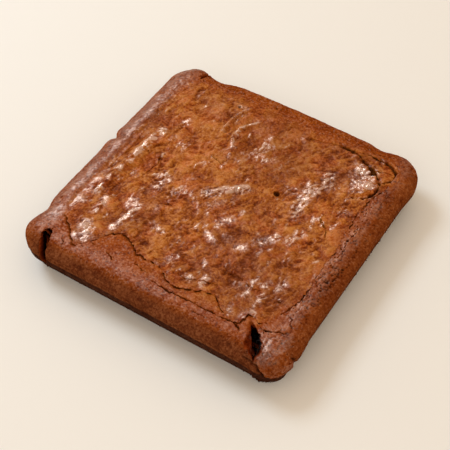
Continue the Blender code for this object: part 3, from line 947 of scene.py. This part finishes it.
def speckle(tree, place, size, detail=2.0, rough=0.5, stretch=(1.0, 1.0, 1.0), swirl=0.0):
    """Noise whose bumps are about `size` millimetres across."""
    place = add_node(tree, "ShaderNodeMapping", None, Vector=place, Scale=stretch).outputs[0]
    return add_node(tree, "ShaderNodeTexNoise", {"noise_dimensions": "3D"}, Vector=place, Scale=500.0 / size,
                    Detail=detail, Roughness=rough, Distortion=swirl).outputs[0]


def tone_ramp(tree, share, tones):
    """Colours along a share, the first tone at 0 and the last at 1; where the share follows the relief, its
    sunk spots get the darker tones as painted shade.
    """
    ramp = add_node(tree, "ShaderNodeValToRGB", None, Fac=share)
    elements = ramp.color_ramp.elements
    elements[0].color, elements[1].color = linear(tones[0]), linear(tones[-1])
    for index, colour in enumerate(tones[1:-1], 1):
        elements.new(index / (len(tones) - 1)).color = linear(colour)
    return ramp.outputs[0]


def crust_material():
    """Baked chocolate crust: a glossy sugar skin inside, matte crumb on the rim, dark where the tin was; the
    sides' darkness is partly painted shade, the shoulder's darkening at the front and right is painted shade,
    and the whitened glossiest flakes are a painted highlight.
    """
    made = bpy.data.materials.new("baked_chocolate_crust")
    made.use_nodes = True
    tree = made.node_tree
    shader = tree.nodes["Principled BSDF"]
    place = add_node(tree, "ShaderNodeTexCoord").outputs["Object"]
    skin = field(tree, "skin")
    side = field(tree, "side")
    gloss = field(tree, "gloss")
    patches = speckle(tree, place, 9.0, 3.0, 0.6)
    turned = add_node(tree, "ShaderNodeVectorRotate", {"rotation_type": "Z_AXIS"}, Vector=place,
                      Angle=WRINKLE_TURN).outputs[0]
    wrinkles = speckle(tree, turned, 1.8, 3.0, 0.6, (1.0, 0.62, 1.0), 0.6)
    grain = speckle(tree, place, 0.75, 2.0, 0.65)
    specks = speckle(tree, place, 0.9, 1.0, 0.5)

    tone = times_plus(tree, patches, 0.28, times(tree, wrinkles, 0.50))
    tone = times_plus(tree, grain, 0.70, tone)
    # Painted shade: the relief's hollows darker and its crests lighter
    tone = times_plus(tree, field(tree, "raised"), 0.24, tone)
    share = spread(tree, tone, 0.38, 1.04)
    skin_colour = tone_ramp(tree, share, ("#582307", "#86420f", "#a66020", "#bf7d3b"))
    warmer = speckle(tree, turned, 6.0, 3.0, 0.65, (1.0, 0.7, 1.0), 1.0)
    warmer = spread(tree, warmer, 0.46, 0.62, 0.0, 0.55)
    warm_colour = tone_ramp(tree, share, ("#551c06", "#8b3a0f", "#ac5520", "#c2713c"))
    skin_colour = mixed(tree, warmer, skin_colour, warm_colour)
    moist = spread(tree, speckle(tree, place, 26.0, 4.0, 0.6), 0.46, 0.64, 0.0, 0.35)
    skin_colour = mixed(tree, moist, skin_colour, linear("#70381a"))
    rim_colour = tone_ramp(tree, share, ("#64260a", "#833b0c", "#954b16", "#a85f28"))
    # The sides' darker crust, deepened as painted shade, also paints the shade of the shoulder at the front
    # and right; the base colours, darkest, go in the band below the lip
    side_and_shade_colour = tone_ramp(tree, share, ("#3a1a0e", "#522a17", "#663820", "#7d4d31"))
    base_colour = tone_ramp(tree, share, ("#24120b", "#321b13", "#43271b", "#5a3a2c"))
    colour = mixed(tree, skin, rim_colour, skin_colour)
    colour = mixed(tree, side, colour, side_and_shade_colour)
    colour = mixed(tree, field(tree, "wall"), colour, base_colour)
    # Fine dark specks, thickest in the crumb
    fine_dark_specks = times(tree, spread(tree, specks, 0.40, 0.33), times_plus(tree, skin, -0.30, 0.55))
    colour = mixed(tree, fine_dark_specks, colour, linear("#4a1606"))
    film = times(tree, gloss, spread(tree, wrinkles, 0.36, 0.60, 0.25, 1.0))
    # Painted highlight: the thickest glossy flakes of the skin whitened as if they caught the light
    painted_highlight = times(tree, spread(tree, film, 0.40, 0.85, 0.0, 0.60), skin)
    colour = mixed(tree, painted_highlight, colour, linear("#dabfb0"))
    # Painted shade: cracks, pits, the gash under the skin's open edge, the seam round the lobe and the torn
    # corner darkened, over the darker crumb that shows in them
    dark = highest(tree, field(tree, "crack"), field(tree, "pit"))
    colour = mixed(tree, times(tree, dark, 0.85), colour, linear("#2b0f05"))
    # Painted shade inside the splits: nearly black deep down, and reddish brown along the shallow ledge,
    # painted as its lit wall
    split = field(tree, "split")
    inside = tone_ramp(tree, split, ("#9a4a20", "#6e2a0c", "#1a0703", "#070201"))
    colour = mixed(tree, spread(tree, split, 0.0, 0.15), colour, inside)
    dull = highest(tree, highest(tree, dark, spread(tree, split, 0.0, 0.15)), side)
    tree.links.new(colour, shader.inputs["Base Color"])

    rough = times_plus(tree, skin, -0.10, 0.50)
    smoother = times_plus(tree, skin, -0.20, -0.04)
    rough = times_plus(tree, film, smoother, rough)
    rough = times_plus(tree, dull, 0.2, rough, True)
    tree.links.new(rough, shader.inputs["Roughness"])
    shader.inputs["IOR"].default_value = 1.7
    sheen = times_plus(tree, film, 0.9, 0.02)
    # Sugar grains in the crumb of the rim, which glitter finely
    sugar = times_plus(tree, skin, -0.75, 1.0)
    sugar = times(tree, spread(tree, grain, 0.50, 0.66), sugar)
    sheen = times_plus(tree, sugar, 0.24, sheen)
    sheen = times_plus(tree, dull, -0.3, sheen, True)
    tree.links.new(sheen, shader.inputs["Specular IOR Level"])
    shader.inputs["Specular Tint"].default_value = linear("#fff1ea")

    height = times_plus(tree, wrinkles, 0.8, times(tree, grain, 0.45))
    strength = times_plus(tree, skin, 0.24, 0.26)
    strength = times_plus(tree, film, -0.16, strength)
    relief = add_node(tree, "ShaderNodeBump", None, Strength=strength, Distance=0.002, Height=height)
    tree.links.new(relief.outputs[0], shader.inputs["Normal"])
    return made


crust = crust_material()


# ==== Flakes and crumbs, scattered by geometry nodes ====
def rough_shapes(name, count, squash, seed):
    """A collection of little broken bits about 2 across, each the hull of a few random points."""
    draw = np.random.default_rng(seed)
    family = bpy.data.collections.new(name)
    for number in range(count):
        spots = draw.normal(size=(13, 3))
        spots *= draw.uniform(0.75, 1.1, size=(13, 1)) / np.linalg.norm(spots, axis=1, keepdims=True)
        spots[:, 2] *= squash
        hull = bmesh.new()
        for spot in spots:
            hull.verts.new(spot)
        found = bmesh.ops.convex_hull(hull, input=hull.verts)
        loose = [item for item in found["geom_interior"] if isinstance(item, bmesh.types.BMVert)]
        bmesh.ops.delete(hull, geom=loose)
        bmesh.ops.recalc_face_normals(hull, faces=hull.faces)
        mesh = bpy.data.meshes.new(f"{name}_{number}")
        hull.to_mesh(mesh)
        hull.free()
        family.objects.link(bpy.data.objects.new(f"{name}_{number}", mesh))
    return family


def scatter_tree():
    """Bits stood on a surface: thick where the named field is high, turned and sized at random."""
    tree = bpy.data.node_groups.new("scattered_bits", "GeometryNodeTree")
    for name, kind in (("Surface", "Geometry"), ("Shapes", "Collection"), ("Where", "String"),
                       ("Density", "Float"), ("Seed", "Int"), ("Smallest", "Vector"), ("Largest", "Vector"),
                       ("Tilt", "Vector"), ("Sink", "Vector"), ("Finish", "Material")):
        tree.interface.new_socket(name, in_out="INPUT", socket_type="NodeSocket" + kind)
    tree.interface.new_socket("Bits", in_out="OUTPUT", socket_type="NodeSocketGeometry")
    given = add_node(tree, "NodeGroupInput").outputs
    share = add_node(tree, "GeometryNodeInputNamedAttribute", {"data_type": "FLOAT"}, Name=given["Where"])
    density = times(tree, share.outputs["Attribute"], given["Density"])
    points = add_node(tree, "GeometryNodeDistributePointsOnFaces", None,
                      Mesh=given["Surface"], Density=density, Seed=given["Seed"]).outputs
    vectors = {"data_type": "FLOAT_VECTOR"}
    back = add_node(tree, "ShaderNodeVectorMath", {"operation": "SCALE"}, Vector=given["Tilt"], Scale=-1.0)
    turn = add_node(tree, "FunctionNodeRandomValue", vectors, i0=back.outputs[0], i1=given["Tilt"],
                    Seed=given["Seed"])
    turn = add_node(tree, "FunctionNodeEulerToRotation", None, Euler=turn.outputs[0])
    turn = add_node(tree, "FunctionNodeRotateRotation", {"rotation_space": "LOCAL"},
                    Rotation=points["Rotation"], Rotate_By=turn.outputs[0])
    size = add_node(tree, "FunctionNodeRandomValue", vectors, i0=given["Smallest"], i1=given["Largest"])
    shapes = add_node(tree, "GeometryNodeCollectionInfo", None, Collection=given["Shapes"],
                      Separate_Children=True, Reset_Children=True)
    bits = add_node(tree, "GeometryNodeInstanceOnPoints", None, Points=points["Points"],
                    Instance=shapes.outputs[0], Pick_Instance=True, Rotation=turn.outputs[0],
                    Scale=size.outputs[0])
    bits = add_node(tree, "GeometryNodeTranslateInstances", None, Instances=bits.outputs[0],
                    Translation=given["Sink"])
    bits = add_node(tree, "GeometryNodeRealizeInstances", None, Geometry=bits.outputs[0])
    bits = add_node(tree, "GeometryNodeSetMaterial", None, Geometry=bits.outputs[0],
                    Material=given["Finish"])
    add_node(tree, "NodeGroupOutput", None, Bits=bits.outputs[0])
    return tree


def scatter(name, surface, tree, **values):
    """The scattered bits of one surface as a plain mesh."""
    carrier = surface.copy()
    bpy.context.scene.collection.objects.link(carrier)
    nodes = carrier.modifiers.new("scatter", "NODES")
    nodes.node_group = tree
    for item in tree.interface.items_tree:
        if item.in_out == "INPUT" and item.name in values:
            nodes[item.identifier] = values[item.name]
    graph = bpy.context.evaluated_depsgraph_get()
    mesh = bpy.data.meshes.new_from_object(carrier.evaluated_get(graph))
    mesh.name = name
    bpy.data.objects.remove(carrier)
    return placed(name, mesh)


flake_shapes = rough_shapes("flake", 5, 0.16, 81)
crumb_shapes = rough_shapes("crumb", 5, 0.75, 82)
bits_tree = scatter_tree()
QUARTER = math.pi / 2

# Name, surface, shapes, field that says where, bits a square metre, seed, smallest and largest size in
# metres, largest tilt
SCATTERS = (
    ("skin_flakes", skin, flake_shapes, "flaky", 90000.0, 5,
     (0.0004, 0.0007, 0.0006), (0.0011, 0.0022, 0.0011), (0.20, 0.20, 0.6)),
    ("rim_crumbs", rim, crumb_shapes, "crumbly", 420000.0, 6,
     (0.0002, 0.0002, 0.0002), (0.0006, 0.0006, 0.0005), (QUARTER, QUARTER, 3.0)),
    ("side_crumbs", side, crumb_shapes, "crumbly", 900000.0, 7,
     (0.0003, 0.0003, 0.0003), (0.0010, 0.0010, 0.0008), (QUARTER, QUARTER, 3.0)),
)
bits = [scatter(name, surface, bits_tree, Shapes=shapes, Where=where, Density=density, Seed=seed,
                Smallest=smallest, Largest=largest, Tilt=tilt,
                Sink=(0.0, 0.0, -0.00002 if surface is skin else 0.0), Finish=crust)
        for name, surface, shapes, where, density, seed, smallest, largest, tilt in SCATTERS]
for piece in (side, rim, skin):
    piece.data.materials.append(crust)
for piece in (side, rim, skin, *bits):
    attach(piece, "root")
    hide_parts("brownie")

# ==== Stage: a plain pale floor, soft light from behind and above, and the camera ====
# The floor is flat round the object and sweeps up like a studio backdrop far behind it
FLOOR_SIZE = 6.0
FLOOR_FLAT, FLOOR_SWEEP, FLOOR_RISE = 1.9, 1.1, 1.1
VIEW_AZIMUTH, VIEW_ELEVATION = 32.38, 49.93
VIEW_DISTANCE = 0.751
LENS = 87.46
AIM = Vector(((-1.2 - BOX_MIDDLE[0]) * MM, (1.35 - BOX_MIDDLE[1]) * MM, 0.0))


def direction(azimuth, elevation):
    """From the object out to something seen at that azimuth (0 is in front) and elevation, in degrees."""
    turn, rise = math.radians(azimuth), math.radians(elevation)
    return Vector((math.sin(turn) * math.cos(rise), -math.cos(turn) * math.cos(rise), math.sin(rise)))


def facing(spot, target):
    return (target - spot).to_track_quat("-Z", "Y").to_euler()


def make_floor():
    grid = bmesh.new()
    bmesh.ops.create_grid(grid, x_segments=60, y_segments=60, size=FLOOR_SIZE / 2)
    for vert in grid.verts:
        swept = min(max(vert.co.xy.length - FLOOR_FLAT, 0.0), FLOOR_SWEEP) / FLOOR_SWEEP
        vert.co.z = FLOOR_RISE * swept**2
    for face in grid.faces:
        face.smooth = True
    mesh = bpy.data.meshes.new("floor")
    grid.to_mesh(mesh)
    grid.free()
    floor = placed("floor", mesh)
    # Painted board: matte and nearly white, so that it shows only the soft shadow
    made = bpy.data.materials.new("pale_painted_board")
    made.use_nodes = True
    shader = made.node_tree.nodes["Principled BSDF"]
    shader.inputs["Base Color"].default_value = linear("#ebf1f1")
    shader.inputs["Roughness"].default_value = 0.9
    mesh.materials.append(made)


def soft_box(name, azimuth, elevation, distance, size, power, colour, shine_only=False):
    lamp = bpy.data.lights.new(name, "AREA")
    lamp.shape = "RECTANGLE"
    lamp.size, lamp.size_y = size
    lamp.energy = power
    lamp.color = linear(colour)[:3]
    item = placed(name, lamp)
    item.location = direction(azimuth, elevation) * distance
    item.rotation_euler = facing(item.location, Vector((0, 0, 0)))
    item.visible_diffuse = not shine_only


def make_stage():
    make_floor()
    soft_box("window_light", 265.0, 50.0, 1.4, (0.5, 0.45), 7.2, "#e6f3ff")
    soft_box("front_fill", 15.0, 42.0, 1.6, (1.0, 0.8), 2.5, "#e6f3ff")
    soft_box("glint_light", 235.0, 50.0, 1.4, (0.50, 0.38), 11.0, "#fff8f2", True)
    world = bpy.data.worlds.new("room")
    world.use_nodes = True
    sky = world.node_tree.nodes["Background"]
    sky.inputs["Color"].default_value = linear("#ffdfc0")
    sky.inputs["Strength"].default_value = 0.85
    world.cycles_visibility.glossy = False
    bpy.context.scene.world = world
    camera = bpy.data.cameras.new("camera")
    camera.lens = LENS
    camera.sensor_width = 36.0
    item = placed("camera", camera)
    item.location = AIM + direction(VIEW_AZIMUTH, VIEW_ELEVATION) * VIEW_DISTANCE
    item.rotation_euler = facing(item.location, AIM)
    bpy.context.scene.camera = item
    bpy.context.scene.view_settings.view_transform = "Standard"


make_stage()
